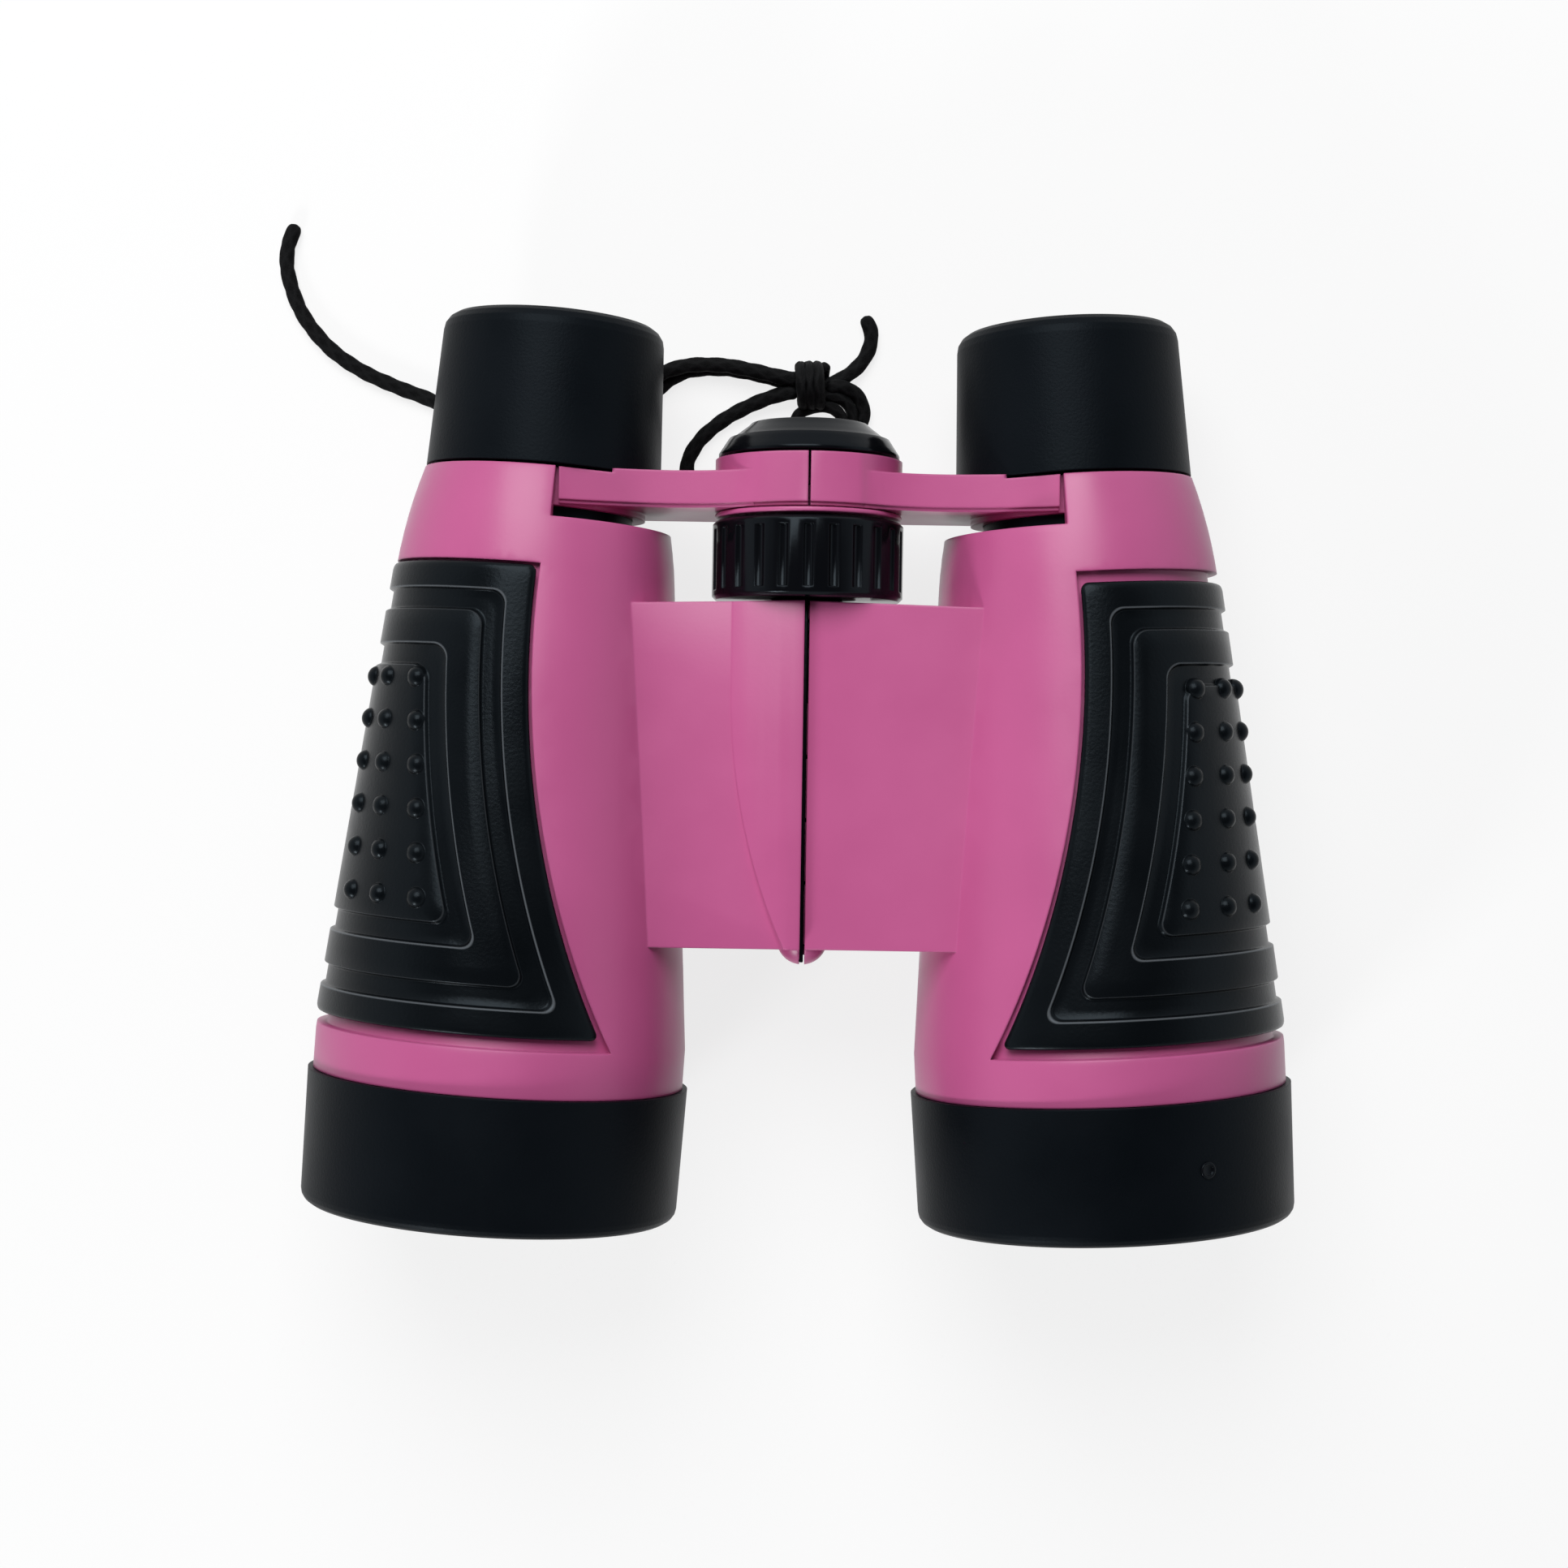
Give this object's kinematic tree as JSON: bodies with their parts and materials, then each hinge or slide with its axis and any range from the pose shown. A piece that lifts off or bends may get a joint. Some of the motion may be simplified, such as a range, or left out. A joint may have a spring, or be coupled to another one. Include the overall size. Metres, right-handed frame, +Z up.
{
  "type": "toy binoculars",
  "caption": "Folding toy binoculars with flared pink barrels, studded rubber grips, a centre hinge, a focus wheel that drives the eyepiece bridge, and a knotted neck cord.",
  "frame": {"origin": "on the floor, under the middle of the object's box without its cord", "axes": "+Y towards the eyepieces along the floor, +X to the right barrel, +Z up"},
  "size_m": [0.1056, 0.1018, 0.0391],
  "materials": {
    "pink_plastic": "satin moulded",
    "black_plastic": "fine matt grain",
    "black_rubber": "soft satin",
    "gloss_black": "gloss",
    "steel": "plain turned",
    "clear_lens": "clear",
    "cord": "round braid"
  },
  "bodies": {
    "left_half": {"left_barrel": "pink_plastic", "left_grip": "black_rubber", "left_objective_ring": "black_plastic", "left_objective_lens": "clear_lens", "left_lens_washer": "black_rubber", "hinge_pin": "steel", "cord_knot": "cord", "neck_cord": "cord", "lug_cord": "cord", "cord_loop": "cord", "left_lug_loop": "cord"},
    "right_half": {"right_barrel": "pink_plastic", "right_grip": "black_rubber", "right_objective_ring": "black_plastic", "right_objective_lens": "clear_lens", "right_lens_washer": "black_rubber", "right_lug_loop": "cord"},
    "focus_wheel": {"focus_wheel": "gloss_black", "wheel_clip": "steel"},
    "focus_drive": {"focus_screw": "steel", "screw_cap": "gloss_black", "bridge_washer": "pink_plastic"},
    "left_eyepiece": {"left_bridge_arm": "pink_plastic", "left_eyepiece_tube": "black_plastic", "left_eyecup": "black_plastic", "left_eyepiece_lens": "clear_lens"},
    "right_eyepiece": {"right_bridge_arm": "pink_plastic", "right_eyepiece_tube": "black_plastic", "right_eyecup": "black_plastic", "right_eyepiece_lens": "clear_lens"}
  },
  "joints": [
    {"name": "fold", "type": "hinge", "parent": "left_half", "child": "right_half", "pos_m": [0, -0.00072, 0.01971], "axis": [0, 0.9952, -0.0975], "range_deg": [0, 30]},
    {"name": "screw_slide", "type": "slide", "parent": "left_half", "child": "focus_drive", "axis": [0, 0.9952, -0.0975], "range_m": [0, 0.0035]},
    {"name": "focus_turn", "type": "hinge", "parent": "left_half", "child": "focus_wheel", "pos_m": [0, -0.00072, 0.01971], "axis": [0, 0.9952, -0.0975], "range_deg": [0, 300]},
    {"name": "left_eyepiece_slide", "type": "slide", "parent": "left_half", "child": "left_eyepiece", "axis": [0, 0.9952, -0.0975], "range_m": [0, 0.0035]},
    {"name": "right_eyepiece_slide", "type": "slide", "parent": "right_half", "child": "right_eyepiece", "axis": [0, 0.9952, -0.0975], "range_m": [0, 0.0035]}
  ],
  "couplings": [
    {"joint": "focus_turn", "follows": "screw_slide", "rad_per_m": 1496},
    {"joint": "left_eyepiece_slide", "follows": "screw_slide", "ratio": 1},
    {"joint": "right_eyepiece_slide", "follows": "screw_slide", "ratio": 1}
  ]
}
